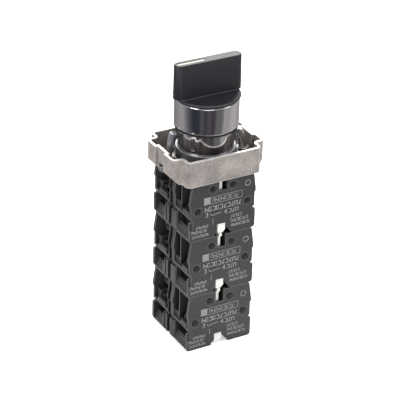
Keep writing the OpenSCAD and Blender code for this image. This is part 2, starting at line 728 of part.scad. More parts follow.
// Plunger: foot, window for the bridge, and the thin stem that the piece above presses
module plunger() {
    x0 = slot_x - foot_w/2;
    x1 = slot_x + foot_w/2;
    w = foot_w/2;
    color(white) difference() {
        union() {
            slab(face_gap, foot_back) polygon([[x0 + 0.3, foot_z], [x1 - 1.1, foot_z],
                [x1, foot_z + 1.2], [x1, foot_top - 0.1], [x0, foot_top - 0.1], [x0, foot_z + 0.4]]);
            span([x0 + 0.2, plunger_front, foot_top - 0.2], [x1, foot_back, shelf_z + 0.5]);
            span([-w, plunger_front, shelf_z], [w, plunger_back, plunger_top]);
            span([stem_x, plunger_front, plunger_top - 0.1],
                [stem_x + stem_w, stem_back, block_h + stem_rise]);
            span([stem_x, face_gap, stem_front_z],
                [stem_x + stem_w, plunger_front + 0.1, block_h + stem_rise]);
            translate([0, spring_y, shelf_z - 0.8])
                cylinder(h = 1, r = spring_r - spring_wire/2 - 0.35, $fn = 32);
        }
        span([-w - over, tip_y - bridge_w/2 - 0.2, window_z],
            [w + over, tip_y + bridge_w/2 + 0.2, window_top]);
    }
}

module bridge() {
    color(brass) span([-bridge_half_l, tip_y - bridge_w/2, bridge_z],
        [bridge_half_l, tip_y + bridge_w/2, bridge_z + bridge_t]);
    color(silver) for (x = [-tip_x, tip_x]) translate([x, tip_y, bridge_z - tip_h])
        cylinder(h = tip_h + 0.1, d = tip_d, $fn = 32);
}

// The two fixed terminals: an upright strip in the pocket, a leg inwards and a contact tip
module terminal() {
    color(brass) difference() {
        union() {
            span([-strip_x - strip_t, strip_y[0], leg_z], [-strip_x, strip_y[1], pocket_top - 0.4]);
            span([-strip_x - 0.1, strip_y[0], leg_z], [-leg_inner, strip_y[1], leg_z + leg_t]);
        }
        translate([-strip_x - strip_t - over, screw_y, screw_z]) rotate([0, 90, 0])
            cylinder(h = strip_t + 2*over, d = screw_d + 2*run, $fn = 32);
    }
    color(silver) translate([-tip_x, tip_y, leg_z + leg_t - 0.1])
        cylinder(h = tip_h + 0.1, d = tip_d, $fn = 32);
}

module terminals() {
    terminal();
    mirror([1, 0, 0]) terminal();
}

module return_spring() {
    color(steel) translate([0, spring_y, chamber_z + run])
        coil(radius = spring_r, wire = spring_wire, length = shelf_z - chamber_z - 2*run,
            turns = 4, steps = 12, sides = 6);
}

module contact_spring() {
    color(steel) translate([0, tip_y, bridge_z + bridge_t + run])
        coil(radius = contact_spring_r, wire = contact_spring_wire,
            length = window_top - bridge_z - bridge_t - 2*run, turns = 4, steps = 10, sides = 5);
}

module terminal_screw() {
    head_x = -strip_x - strip_t - washer_t;
    color(steel) translate([0, screw_y, screw_z]) difference() {
        union() {
            translate([head_x - screw_head_h, 0, 0]) rotate([0, 90, 0])
                cylinder(h = screw_head_h, d = screw_head_d, $fn = 48);
            translate([head_x - 0.1, 0, 0]) rotate([0, 90, 0])
                cylinder(h = -strip_x - head_x + 0.45, d = screw_d, $fn = 32);
        }
        for (a = [0, 90]) rotate([a, 0, 0]) translate([head_x - screw_head_h, 0, 0])
            cube([2, 0.7, 2.8], center = true);
    }
}

module clamp_washer() {
    color(steel) translate([-strip_x - strip_t - washer_t, screw_y, screw_z]) rotate([0, 90, 0])
        linear_extrude(washer_t) difference() {
            square([washer_w, washer_w], center = true);
            circle(d = screw_d + 2*run, $fn = 32);
        }
}

// Pin with a domed end, just below the cover's face
module housing_pin(spot) {
    length = cover_t + pin_l - 0.1 - pin_sink;
    side = length - pin_dome;
    dome = [for (a = [0:15:75]) [pin_d/2*cos(a), side + pin_dome*sin(a)]];
    color(inner_grey) translate([spot[0], length + pin_sink, spot[1]]) rotate([90, 0, 0])
        rotate_extrude($fn = 32) polygon(concat([[0, 0], [pin_d/2, 0]], dome, [[0, length]]));
}

// Draws the same piece in all six blocks
module each_block() {
    for (c = [0, 1], t = TIERS) at_block(c, t) children();
}

module both_ends() {
    children();
    mirror([1, 0, 0]) children();
}

module block_piece(name) {
    if (name == "housing_") housing();
    if (name == "cover_") cover();
    if (name == "plunger_") plunger();
    if (name == "bridge_") bridge();
    if (name == "terminals_") terminals();
    if (name == "return_spring_") return_spring();
    if (name == "contact_spring_") contact_spring();
}

knob();
marker_insert();
operator_body();
panel_gasket();
cam_drum();
shaft_seal();
detent_ball();
detent_spring();
guide_plate();
pusher(-1);  // pusher_a
pusher(1);  // pusher_b
collar_frame();
lock_ring();
fixing_screws();
each_block() both_ends() terminal_screw();  // terminal_screws
each_block() both_ends() clamp_washer();  // clamp_washers
each_block() for (p = pin_spots) housing_pin(p);  // housing_pins
for (p = BLOCK_PIECES, c = [0, 1], t = TIERS)
    at_block(c, t) block_piece(p);
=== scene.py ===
# %% [markdown]
# A selector switch for a 22 mm panel hole: a black wing knob in a chromed bezel, a zinc fixing collar and
# six stacked contact blocks. The imported CAD model already has every rigid piece at its true size, so this
# lesson dresses it: finishes, softened edges, smooth copies of the springs, the moulded form of the block
# ends, the print on the blocks, the light and the camera.
# All lengths are in metres, with the origin on the switch's axis in the plane that seats on the panel.

# %% Load the frame
import json
import math

import bmesh
import bpy
from mathutils import Matrix, Vector

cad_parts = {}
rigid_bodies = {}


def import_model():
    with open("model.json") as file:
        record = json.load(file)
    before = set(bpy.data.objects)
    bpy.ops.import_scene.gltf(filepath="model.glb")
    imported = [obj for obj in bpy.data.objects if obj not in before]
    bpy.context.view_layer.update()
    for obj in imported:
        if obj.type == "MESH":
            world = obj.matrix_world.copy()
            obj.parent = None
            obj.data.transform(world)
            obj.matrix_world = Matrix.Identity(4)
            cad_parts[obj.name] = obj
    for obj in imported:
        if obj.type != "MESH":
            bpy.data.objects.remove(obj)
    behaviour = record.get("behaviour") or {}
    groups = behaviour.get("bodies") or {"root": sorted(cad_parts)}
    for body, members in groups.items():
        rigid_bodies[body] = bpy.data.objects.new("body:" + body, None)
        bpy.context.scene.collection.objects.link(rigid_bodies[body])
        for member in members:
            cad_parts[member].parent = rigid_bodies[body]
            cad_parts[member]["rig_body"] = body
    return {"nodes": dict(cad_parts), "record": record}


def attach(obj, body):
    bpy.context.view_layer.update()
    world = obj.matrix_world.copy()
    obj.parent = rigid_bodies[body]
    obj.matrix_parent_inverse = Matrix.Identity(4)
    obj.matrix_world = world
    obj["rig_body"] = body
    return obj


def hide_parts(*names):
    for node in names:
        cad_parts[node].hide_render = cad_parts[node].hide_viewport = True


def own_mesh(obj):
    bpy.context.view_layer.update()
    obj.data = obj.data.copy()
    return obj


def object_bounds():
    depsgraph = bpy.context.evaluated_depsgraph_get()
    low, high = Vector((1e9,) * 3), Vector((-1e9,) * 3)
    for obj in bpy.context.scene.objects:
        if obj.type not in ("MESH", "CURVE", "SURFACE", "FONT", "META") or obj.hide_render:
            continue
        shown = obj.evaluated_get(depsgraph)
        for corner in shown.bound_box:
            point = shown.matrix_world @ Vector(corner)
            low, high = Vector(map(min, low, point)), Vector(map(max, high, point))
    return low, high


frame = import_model()
nodes = frame["nodes"]
cad_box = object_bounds()
MM = 0.001
COLUMNS = ("a", "b")
TIERS = (1, 2, 3)
BLOCKS = [column + str(tier) for column in COLUMNS for tier in TIERS]

# %% [markdown]
# The camera comes first, because every later choice is judged through it. A photograph's viewpoint can be
# found by eye, or solved from points whose real places are known. Here the knob's ends, the bezel's
# ellipses, the collar's corners and the block edges were used to solve it: the camera stands in front
# and to the left, looks down by 28 degrees, and is about 0.7 m away, which gives mild perspective.

# %% Set up the camera
AZIMUTH = math.radians(29.9026)
ELEVATION = math.radians(28.4601)
ROLL = math.radians(1.5363)
DISTANCE = 699.24
SHIFT_RIGHT = -2.4089
SHIFT_UP = -29.9997
FOCUS_PIXELS = 1815.0
FRAME_PIXELS = 400
SENSOR = 36.0
SOLVED_ABOVE_SEAT = 0.7


def camera_matrix():
    back = Vector((-math.sin(AZIMUTH) * math.cos(ELEVATION), -math.cos(AZIMUTH) * math.cos(ELEVATION),
                   math.sin(ELEVATION)))
    level = Vector((math.cos(AZIMUTH), -math.sin(AZIMUTH), 0.0))
    upright = back.cross(level)
    right = level * math.cos(ROLL) + upright * math.sin(ROLL)
    up = upright * math.cos(ROLL) - level * math.sin(ROLL)
    place = right * SHIFT_RIGHT + up * SHIFT_UP + back * DISTANCE + Vector((0, 0, SOLVED_ABOVE_SEAT))
    turn = Matrix((right, up, back)).transposed().to_4x4()
    return Matrix.Translation(place * MM) @ turn


camera_data = bpy.data.cameras.new("photo_view")
camera_data.sensor_width = SENSOR
camera_data.lens = FOCUS_PIXELS * SENSOR / FRAME_PIXELS
camera_data.clip_start = 0.01
camera_data.clip_end = 20.0
camera = bpy.data.objects.new("photo_view", camera_data)
bpy.context.scene.collection.objects.link(camera)
camera.matrix_world = camera_matrix()
bpy.context.scene.camera = camera
print("camera lens", round(camera_data.lens, 1), "mm")

# %% [markdown]
# Every finish here is the same idea: a plain colour broken up by fine grain. Moulded plastic, a die
# casting and a plated screw differ in colour, size of grain and gloss. One shader node group makes
# the grain for all of them, and each material gives it its own values. The group reads Object
# coordinates, so the grain keeps its real size and stays on the piece from every side.

# %% Grain shared by all finishes
GRAIN = bpy.data.node_groups.new("surface_grain", "ShaderNodeTree")


def group_socket(group, name, kind, direction, value=None):
    socket = group.interface.new_socket(name=name, in_out=direction, socket_type=kind)
    if value is not None:
        socket.default_value = value
    return socket


group_socket(GRAIN, "Colour", "NodeSocketColor", "INPUT", (0.5, 0.5, 0.5, 1.0))
group_socket(GRAIN, "Size", "NodeSocketFloat", "INPUT", 2000.0)
group_socket(GRAIN, "Mottle", "NodeSocketFloat", "INPUT", 0.1)
group_socket(GRAIN, "Gloss", "NodeSocketFloat", "INPUT", 0.5)
group_socket(GRAIN, "Gloss spread", "NodeSocketFloat", "INPUT", 0.1)
group_socket(GRAIN, "Colour", "NodeSocketColor", "OUTPUT")
group_socket(GRAIN, "Roughness", "NodeSocketFloat", "OUTPUT")
group_socket(GRAIN, "Height", "NodeSocketFloat", "OUTPUT")


def wire(tree, a, a_socket, b, b_socket):
    tree.links.new(a.outputs[a_socket], b.inputs[b_socket])


def fill_grain(group):
    source = group.nodes.new("NodeGroupInput")
    result = group.nodes.new("NodeGroupOutput")
    place = group.nodes.new("ShaderNodeTexCoord")
    fine = group.nodes.new("ShaderNodeTexNoise")
    fine.inputs["Detail"].default_value = 3.0
    broad = group.nodes.new("ShaderNodeTexNoise")
    broad.inputs["Scale"].default_value = 140.0
    broad.inputs["Detail"].default_value = 2.0
    for noise in (fine, broad):
        wire(group, place, "Object", noise, "Vector")
    wire(group, source, "Size", fine, "Scale")
    both = group.nodes.new("ShaderNodeMath")
    both.operation = "ADD"
    wire(group, fine, "Fac", both, 0)
    wire(group, broad, "Fac", both, 1)
    centred = group.nodes.new("ShaderNodeMath")
    centred.operation = "SUBTRACT"
    centred.inputs[1].default_value = 1.0
    wire(group, both, 0, centred, 0)
    scaled = group.nodes.new("ShaderNodeMath")
    scaled.operation = "MULTIPLY_ADD"
    scaled.inputs[2].default_value = 1.0
    wire(group, centred, 0, scaled, 0)
    wire(group, source, "Mottle", scaled, 1)
    tinted = group.nodes.new("ShaderNodeVectorMath")
    tinted.operation = "SCALE"
    wire(group, source, "Colour", tinted, 0)
    wire(group, scaled, 0, tinted, "Scale")
    rough = group.nodes.new("ShaderNodeMath")
    rough.operation = "MULTIPLY_ADD"
    rough.use_clamp = True
    wire(group, centred, 0, rough, 0)
    wire(group, source, "Gloss spread", rough, 1)
    wire(group, source, "Gloss", rough, 2)
    wire(group, tinted, 0, result, "Colour")
    wire(group, rough, 0, result, "Roughness")
    wire(group, fine, "Fac", result, "Height")


fill_grain(GRAIN)
print("grain group has", len(GRAIN.nodes), "nodes")

# %% [markdown]
# No moulded or cast edge is truly sharp, and the thin bright line along an edge is what makes a small
# object look real. Rounding every edge in geometry would multiply the faces of six block mouldings,
# so the Bevel node rounds only the normals, over a few hundredths of a millimetre. Where that
# rounded normal leaves the flat one, an edge is near, and the same test paints a lighter colour there as
# a painted highlight. The group also paints shade into recesses: the less of the open air a point sees,
# the more colour it loses.

# %% Painted edge highlight and recess shade shared by all finishes
EDGE = bpy.data.node_groups.new("edge_highlight_and_shade", "ShaderNodeTree")
group_socket(EDGE, "Colour", "NodeSocketColor", "INPUT", (0.5, 0.5, 0.5, 1.0))
group_socket(EDGE, "Highlight colour", "NodeSocketColor", "INPUT", (0.8, 0.8, 0.8, 1.0))
group_socket(EDGE, "Highlight amount", "NodeSocketFloat", "INPUT", 0.3)
group_socket(EDGE, "Radius", "NodeSocketFloat", "INPUT", 0.0002)
group_socket(EDGE, "Recess", "NodeSocketFloat", "INPUT", 0.0)
group_socket(EDGE, "Colour", "NodeSocketColor", "OUTPUT")
group_socket(EDGE, "Normal", "NodeSocketVector", "OUTPUT")
# How far the normals are compared for an edge, and how much open air counts as a recess that gets painted
# shade
EDGE_MATCH = (0.995, 0.90)
RECESS_REACH = 0.007
RECESS_OPENNESS = (0.15, 0.62)


def fill_edge(group):
    source = group.nodes.new("NodeGroupInput")
    result = group.nodes.new("NodeGroupOutput")
    soft = group.nodes.new("ShaderNodeBevel")
    soft.samples = 6
    wire(group, source, "Radius", soft, "Radius")
    flat = group.nodes.new("ShaderNodeNewGeometry")
    match = group.nodes.new("ShaderNodeVectorMath")
    match.operation = "DOT_PRODUCT"
    wire(group, soft, "Normal", match, 0)
    wire(group, flat, "Normal", match, 1)
    near = group.nodes.new("ShaderNodeMapRange")
    near.inputs["From Min"].default_value = EDGE_MATCH[0]
    near.inputs["From Max"].default_value = EDGE_MATCH[1]
    near.inputs["To Min"].default_value = 0.0
    near.inputs["To Max"].default_value = 1.0
    wire(group, match, "Value", near, "Value")
    amount = group.nodes.new("ShaderNodeMath")
    amount.operation = "MULTIPLY"
    wire(group, near, "Result", amount, 0)
    wire(group, source, "Highlight amount", amount, 1)
    # Painted highlight: near an edge the colour turns towards the lighter edge colour
    mix = group.nodes.new("ShaderNodeMix")
    mix.data_type = "RGBA"
    wire(group, amount, 0, mix, "Factor")
    # Painted shade: a point that sees little open air within reach is darkened
    openness = group.nodes.new("ShaderNodeAmbientOcclusion")
    openness.samples = 6
    openness.inputs["Distance"].default_value = RECESS_REACH
    shade = group.nodes.new("ShaderNodeMapRange")
    shade.inputs["From Min"].default_value = RECESS_OPENNESS[0]
    shade.inputs["From Max"].default_value = RECESS_OPENNESS[1]
    shade.inputs["To Min"].default_value = 1.0
    shade.inputs["To Max"].default_value = 0.0
    wire(group, openness, "AO", shade, "Value")
    loss = group.nodes.new("ShaderNodeMath")
    loss.operation = "MULTIPLY"
    wire(group, shade, "Result", loss, 0)
    wire(group, source, "Recess", loss, 1)
    keep = group.nodes.new("ShaderNodeMath")
    keep.operation = "SUBTRACT"
    keep.inputs[0].default_value = 1.0
    wire(group, loss, 0, keep, 1)
    dim = group.nodes.new("ShaderNodeVectorMath")
    dim.operation = "SCALE"
    wire(group, keep, 0, dim, "Scale")
    tree = group.links
    tree.new(source.outputs["Colour"], mix.inputs[6])
    tree.new(source.outputs["Highlight colour"], mix.inputs[7])
    tree.new(mix.outputs[2], dim.inputs[0])
    wire(group, dim, 0, result, "Colour")
    wire(group, soft, "Normal", result, "Normal")


fill_edge(EDGE)
print("edge group has", len(EDGE.nodes), "nodes")

# %% [markdown]
# A finish is a Principled shader fed by the two groups. The colours were judged against the photograph
# and are written as they look on a screen, so a small helper turns them into the linear values
# that Blender works in. Metals take their colour from what they mirror, plastics from themselves.

# %% A maker for finishes


def linear(red, green, blue):
    def one(value):
        value = value / 255.0
        return value / 12.92 if value <= 0.04045 else ((value + 0.055) / 1.055) ** 2.4
    return (one(red), one(green), one(blue), 1.0)


# The edge colour and its amount paint a lighter line along the edges as a painted highlight; the recess
# amount paints shade into hollows.
def finish(name, colour, gloss, size=2500.0, mottle=0.12, spread=0.08, relief=0.00001, metal=0.0,
           highlight_colour=None, highlight_amount=0.0, edge=0.0002, recess_shade=0.0, specular=0.5):
    material = bpy.data.materials.new(name)
    material.use_nodes = True
    tree = material.node_tree
    tree.nodes.clear()
    out = tree.nodes.new("ShaderNodeOutputMaterial")
    shader = tree.nodes.new("ShaderNodeBsdfPrincipled")
    grain = tree.nodes.new("ShaderNodeGroup")
    grain.node_tree = GRAIN
    light_shade_node = tree.nodes.new("ShaderNodeGroup")
    light_shade_node.node_tree = EDGE
    bump = tree.nodes.new("ShaderNodeBump")
    grain.inputs["Colour"].default_value = colour
    grain.inputs["Size"].default_value = size
    grain.inputs["Mottle"].default_value = mottle
    grain.inputs["Gloss"].default_value = gloss
    grain.inputs["Gloss spread"].default_value = spread
    # Painted highlight along the edges and painted shade in the recesses
    light_shade_node.inputs["Highlight colour"].default_value = highlight_colour or colour
    light_shade_node.inputs["Highlight amount"].default_value = highlight_amount
    light_shade_node.inputs["Radius"].default_value = edge
    light_shade_node.inputs["Recess"].default_value = recess_shade
    bump.inputs["Strength"].default_value = 1.0
    bump.inputs["Distance"].default_value = relief
    shader.inputs["Metallic"].default_value = metal
    shader.inputs["Specular IOR Level"].default_value = specular
    wire(tree, grain, "Colour", light_shade_node, "Colour")
    wire(tree, light_shade_node, "Colour", shader, "Base Color")
    wire(tree, grain, "Roughness", shader, "Roughness")
    wire(tree, grain, "Height", bump, "Height")
    wire(tree, light_shade_node, "Normal", bump, "Normal")
    wire(tree, bump, "Normal", shader, "Normal")
    wire(tree, shader, "BSDF", out, "Surface")
    return material


# %% [markdown]
# The knob is glossy black plastic, the blocks are dull dark grey plastic with fine texture, and the
# pieces inside them are darker. The plungers and pushers are white plastic. The bezel and barrel are
# mirror chrome, the collar is a bare satin zinc casting with coarse grain, and the screws are steel.

# %% The finishes
# The edge colours below paint highlights along the edges of the knob, zinc, steels, lock ring, blocks and
# pins, and the recess amounts paint shade into the hollows of the zinc, plated steel, lock ring and blocks.
KNOB_BLACK = finish("knob_black", linear(25, 25, 31), 0.42, size=1800, mottle=0.1, relief=0.000004,
                    highlight_colour=linear(120, 118, 120), highlight_amount=0.35, edge=0.0004)
MARKER = finish("marker_cream", linear(205, 199, 187), 0.5, relief=0.000002, mottle=0.05)
CHROME = finish("mirror_chrome", linear(205, 205, 208), 0.09, size=900, mottle=0.05, spread=0.06,
                relief=0.0000012, metal=1.0, edge=0.0004)
RUBBER = finish("black_rubber", linear(22, 22, 22), 0.8, mottle=0.2, edge=0.0001)
ZINC = finish("satin_zinc", linear(199, 192, 187), 0.42, size=1300, mottle=0.9, spread=0.35,
              relief=0.00007, metal=0.75, highlight_colour=linear(250, 248, 244), highlight_amount=0.9, edge=0.0004,
              recess_shade=0.75)
STEEL = finish("plated_steel", linear(165, 166, 168), 0.32, size=1500, mottle=0.1, metal=0.9,
               highlight_colour=linear(225, 225, 225), highlight_amount=0.4, edge=0.00012, recess_shade=0.7)
BRIGHT_STEEL = finish("bright_steel", linear(196, 198, 202), 0.24, size=1500, mottle=0.15, metal=0.95,
                      highlight_colour=linear(235, 235, 238), highlight_amount=0.4, edge=0.0002)
LOCK = finish("dull_plate", linear(150, 150, 153), 0.36, size=1500, mottle=0.2, metal=0.9,
              highlight_colour=linear(235, 235, 235), highlight_amount=0.7, edge=0.0003, recess_shade=0.8)
BLOCK = finish("block_grey", linear(55, 54, 55), 0.5, size=2200, mottle=0.22, relief=0.00001,
               highlight_colour=linear(158, 155, 152), highlight_amount=0.75, edge=0.00028, recess_shade=0.95)
INNER = finish("inner_black", linear(38, 38, 39), 0.55, mottle=0.12)
PIN = finish("pin_black", linear(30, 30, 31), 0.4, mottle=0.12, highlight_colour=linear(120, 119, 118), highlight_amount=0.5,
             edge=0.0003, specular=0.3)
WHITE = finish("white_plastic", linear(240, 239, 233), 0.45, mottle=0.04, relief=0.000003)
BRASS = finish("brass_strip", linear(214, 178, 110), 0.3, mottle=0.08, metal=1.0, edge=0.0001)
PRINT = finish("print_ink", linear(162, 160, 159), 0.6, size=3000, mottle=0.2, relief=0.0)

FINISH_OF = {"knob": KNOB_BLACK, "marker_insert": MARKER, "operator_body": CHROME, "panel_gasket": RUBBER,
             "cam_drum": INNER, "shaft_seal": RUBBER, "detent_ball": STEEL, "detent_spring": STEEL,
             "guide_plate": INNER, "pusher_a": WHITE, "pusher_b": WHITE, "collar_frame": ZINC,
             "lock_ring": LOCK, "fixing_screws": BRIGHT_STEEL, "terminal_screws": STEEL,
             "clamp_washers": STEEL, "housing_pins": PIN}
KIND_FINISH = {"housing_": BLOCK, "cover_": BLOCK, "plunger_": WHITE, "bridge_": BRASS,
               "terminals_": BRASS, "return_spring_": STEEL, "contact_spring_": STEEL}
for kind, material in KIND_FINISH.items():
    for block in BLOCKS:
        FINISH_OF[kind + block] = material
for name, node in nodes.items():
    node.data.materials.clear()
    node.data.materials.append(FINISH_OF[name])
print("finished", len(FINISH_OF), "nodes with", len(set(FINISH_OF.values())), "materials")

# %% [markdown]
# The CAD meshes are loose triangles, so a round wall shows its flats. For the pieces that are round
# and glossy a copy is merged into one skin, its flat regions are joined again, and the shading is
# smoothed wherever two faces meet at a small angle. The copy stands for the CAD node and is the
# same shape, so the switch keeps its size.

# %% Smooth copies of the round pieces


def smooth_copy(name, angle=32.0):
    source = nodes[name]
    mesh = source.data.copy()
    shape = bmesh.new()
    shape.from_mesh(mesh)
    bmesh.ops.remove_doubles(shape, verts=shape.verts[:], dist=1e-6)
    bmesh.ops.dissolve_limit(shape, angle_limit=math.radians(0.3), verts=shape.verts[:], edges=shape.edges[:])
    for edge in shape.edges:
        edge.smooth = len(edge.link_faces) == 2 and edge.calc_face_angle(3.2) < math.radians(angle)
    for face in shape.faces:
        face.smooth = True
    shape.to_mesh(mesh)
    shape.free()
    copy = bpy.data.objects.new(name + "_skin", mesh)
    bpy.context.scene.collection.objects.link(copy)
    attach(copy, source["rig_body"])
    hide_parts(name)
    return copy


SMOOTHED = ["knob", "marker_insert", "operator_body", "panel_gasket", "collar_frame", "lock_ring",
            "fixing_screws", "housing_pins", "terminal_screws"]
for name in SMOOTHED:
    skin = smooth_copy(name)
    print(skin.name, len(skin.data.polygons), "faces")

# %% [markdown]
# The springs shorten as the knob pushes the plungers down. A return spring stands on its housing and
# loses the plunger's whole travel. A contact spring rides on the bridge, which stops earlier, so it only
# loses the difference. Here each spring gets only a smooth copy with a mesh of its own, at its CAD length.

# %% Smooth copies of the springs
JOINTS = frame["record"]["behaviour"]["joints"]


def closing_spring(name):
    skin = smooth_copy(name, 60.0)
    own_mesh(skin)
    return skin


for row in JOINTS:
    for spring in row.get("deforming_nodes", ()):
        closing_spring(spring["node"])

# %% [markdown]
# The ends of the blocks are moulded more freely than the plain CAD model shows. The terminal window is
# one dark opening with a raised lip below it, and the floor of the lower opening slopes outwards. A
# cutter shape is drawn for both ends in the block's own coordinates, in millimetres, with its depth
# counted inwards from the end. The copy of each housing is then cut with it and gets its lips.

# %% Cutters for the block ends
HALF_LENGTH = 14.65
HALF_WIDTH = 14.7
BLOCK_DEPTH = 14.4
BLOCK_HEIGHT = 24.95
TIER_TOP = -16.673
PITCH = 25.15
COVER = 1.1
OVER = 0.2
OVERLAP = 0.01
WINDOW_DEPTH = 1.4
WINDOW_TOP = 24.0
LIP_FOOT = 10.7
LIP_HEAD = 12.7
LEDGE = 9.65
POCKET_FOOT = 14.2
POCKET_DEPTH = 8.4
BOSS_DEPTH = 1.9
BOSS_BACK = 3.7
REBATE = (2.0, 1.8)
# For both ends: the backs of the window, the pocket and the lower opening, and the lip's two sides
ENDS = {-1: (12.4, 9.0, 11.0, (COVER, 5.2)), 1: (10.8, 10.8, 8.4, (5.0, 10.8))}
SLOPE = [(-OVER, 0.5), (0.5, 0.5), (2.2, 3.8), (4.5, 3.8), (4.5, LEDGE), (-OVER, LEDGE)]
# Solid floor under the slope, a hair above the cut so that the two faces never coincide
FLOOR = [(0.5, 0.2), (0.5, 0.53), (2.2, 3.83), (4.5, 3.83), (4.5, 0.2)]


def add_block(shape, end, depth, across, height):
    x = [end * (HALF_LENGTH - d) for d in depth]
    made = bmesh.ops.create_cube(shape, size=1.0)["verts"]
    bmesh.ops.scale(shape, vec=(abs(x[1] - x[0]), across[1] - across[0], height[1] - height[0]), verts=made)
    middle = ((x[0] + x[1]) / 2, (across[0] + across[1]) / 2, (height[0] + height[1]) / 2)
    bmesh.ops.translate(shape, vec=middle, verts=made)


def add_profile(shape, end, across, outline):
    near, far = [[shape.verts.new((end * (HALF_LENGTH - d), y, z)) for d, z in outline] for y in across]
    shape.faces.new(near)
    shape.faces.new(far[::-1])
    for i in range(len(outline)):
        shape.faces.new((near[i - 1], far[i - 1], far[i], near[i]))


def end_cutter():
    shape = bmesh.new()
    front = COVER - OVER
    inner = WINDOW_DEPTH - OVERLAP
    for end, (window, pocket, lower, _) in ENDS.items():
        add_block(shape, end, (-OVER, WINDOW_DEPTH), (front, window), (LIP_FOOT, WINDOW_TOP))
        add_block(shape, end, (inner, POCKET_DEPTH), (front, pocket), (POCKET_FOOT, WINDOW_TOP))
        add_block(shape, end, (inner, POCKET_DEPTH), (BOSS_BACK, pocket), (LIP_FOOT, WINDOW_TOP))
        add_block(shape, end, (inner, BOSS_DEPTH), (front, BOSS_BACK + OVERLAP),
                  (LIP_FOOT, POCKET_FOOT + OVERLAP))
        add_profile(shape, end, (front, lower), SLOPE)
    add_block(shape, 1, (-OVER, REBATE[0]), (BLOCK_DEPTH - REBATE[1], BLOCK_DEPTH + OVER),
              (-OVER, BLOCK_HEIGHT + OVER))
    bmesh.ops.recalc_face_normals(shape, faces=shape.faces[:])
    return shape


def end_lips():
    shape = bmesh.new()
    for end, (_, _, lower, lip) in ENDS.items():
        add_block(shape, end, (0.0, WINDOW_DEPTH), lip, (LIP_FOOT - OVER, LIP_HEAD))
        add_profile(shape, end, (COVER + 0.02, lower), FLOOR)
    bmesh.ops.recalc_face_normals(shape, faces=shape.faces[:])
    return shape


def to_place(shape, block):
    column, tier = COLUMNS.index(block[0]), int(block[1])
    foot = TIER_TOP - BLOCK_HEIGHT - (tier - 1) * PITCH
    bmesh.ops.translate(shape, vec=(0, -HALF_WIDTH, foot), verts=shape.verts[:])
    if column:
        bmesh.ops.rotate(shape, cent=(0, 0, 0), matrix=Matrix.Rotation(math.pi, 3, "Z"), verts=shape.verts[:])
    bmesh.ops.scale(shape, vec=(MM, MM, MM), verts=shape.verts[:])


def cut_ends(block):
    skin = smooth_copy("housing_" + block)
    tool_shape = end_cutter()
    to_place(tool_shape, block)
    tool_mesh = bpy.data.meshes.new("cutter")
    tool_shape.to_mesh(tool_mesh)
    tool_shape.free()
    tool = bpy.data.objects.new("cutter", tool_mesh)
    bpy.context.scene.collection.objects.link(tool)
    cut = skin.modifiers.new("cut", "BOOLEAN")
    cut.operation = "DIFFERENCE"
    cut.solver = "EXACT"
    cut.use_self = True
    cut.object = tool
    bpy.context.view_layer.update()
    mesh = bpy.data.meshes.new_from_object(skin.evaluated_get(bpy.context.evaluated_depsgraph_get()))
    skin.modifiers.clear()
    bpy.data.objects.remove(tool)
    bpy.data.meshes.remove(tool_mesh)
    shape = end_lips()
    to_place(shape, block)
    shape.from_mesh(mesh)
    shape.to_mesh(mesh)
    shape.free()
    mesh.materials.clear()
    mesh.materials.append(BLOCK)
    skin.data = mesh
    return skin


# %% Cut the block ends
for block in BLOCKS:
    skin = cut_ends(block)
print("cut housing has", len(skin.data.polygons), "faces")

# %% [markdown]
# Each contact block carries light print on its label face: a square, an outlined bar, a ring, the
# terminal numbers with the contact's sign between them, and rows of small print. The print could be a
# painted mask, but flat raised marks keep crisp edges at any distance. Words and makers' signs are left
# off: plain strokes stand in their place, and only the two terminal numbers are drawn as figures.

# %% Marks of the print
INK_RISE = 0.03
INK_SINK = 0.005
# Plain marks that stand for letters: lines across a square that is 1 wide, from -0.5 to 0.5 in height
MARKS = [((0, -0.5, 0, 0.5), (0, 0.45, 1, 0.45), (1, -0.5, 1, 0.5)),
         ((0, -0.45, 1, -0.45), (1, -0.5, 1, 0.5), (0, 0.45, 1, 0.45)),
         ((0, -0.5, 0, 0.5), (0.15, 0, 1, 0), (1, -0.5, 1, 0.1)),
         ((0.1, -0.5, 0.9, 0.5), (0, -0.45, 1, -0.45)),
         ((0, -0.5, 0, 0.5), (0, -0.45, 1, -0.45), (0.6, 0, 1, 0), (0, 0.45, 1, 0.45))]


def add_mark(shape, x, z, width, height, tilt=0.0):
    made = bmesh.ops.create_cube(shape, size=1.0)["verts"]
    bmesh.ops.scale(shape, vec=(width, INK_RISE, height), verts=made)
    bmesh.ops.rotate(shape, cent=(0, 0, 0), matrix=Matrix.Rotation(-tilt, 3, "Y"), verts=made)
    bmesh.ops.translate(shape, vec=(x, 0, z), verts=made)


def add_line(shape, x0, z0, x1, z1, width):
    tilt = math.atan2(z1 - z0, x1 - x0)
    add_mark(shape, (x0 + x1) / 2, (z0 + z1) / 2, math.hypot(x1 - x0, z1 - z0), width, tilt)


def add_row(shape, x0, x1, z, height, thick, first):
    width = 0.6 * height
    step = width + 0.26 * height
    for index in range(int((x1 - x0) / step)):
        x = x0 + index * step
        for ax, az, bx, bz in MARKS[(first + 2 * index + index // 3) % len(MARKS)]:
            add_line(shape, x + ax * width, z + az * height, x + bx * width, z + bz * height, thick)


def add_ring(shape, x, z, radius, width, steps=20):
    turn = 2 * math.pi / steps
    chord = 2 * (radius + width / 2) * math.tan(turn / 2)
    for index in range(steps):
        angle = index * turn
        add_mark(shape, x + radius * math.sin(angle), z + radius * math.cos(angle), chord, width, -angle)


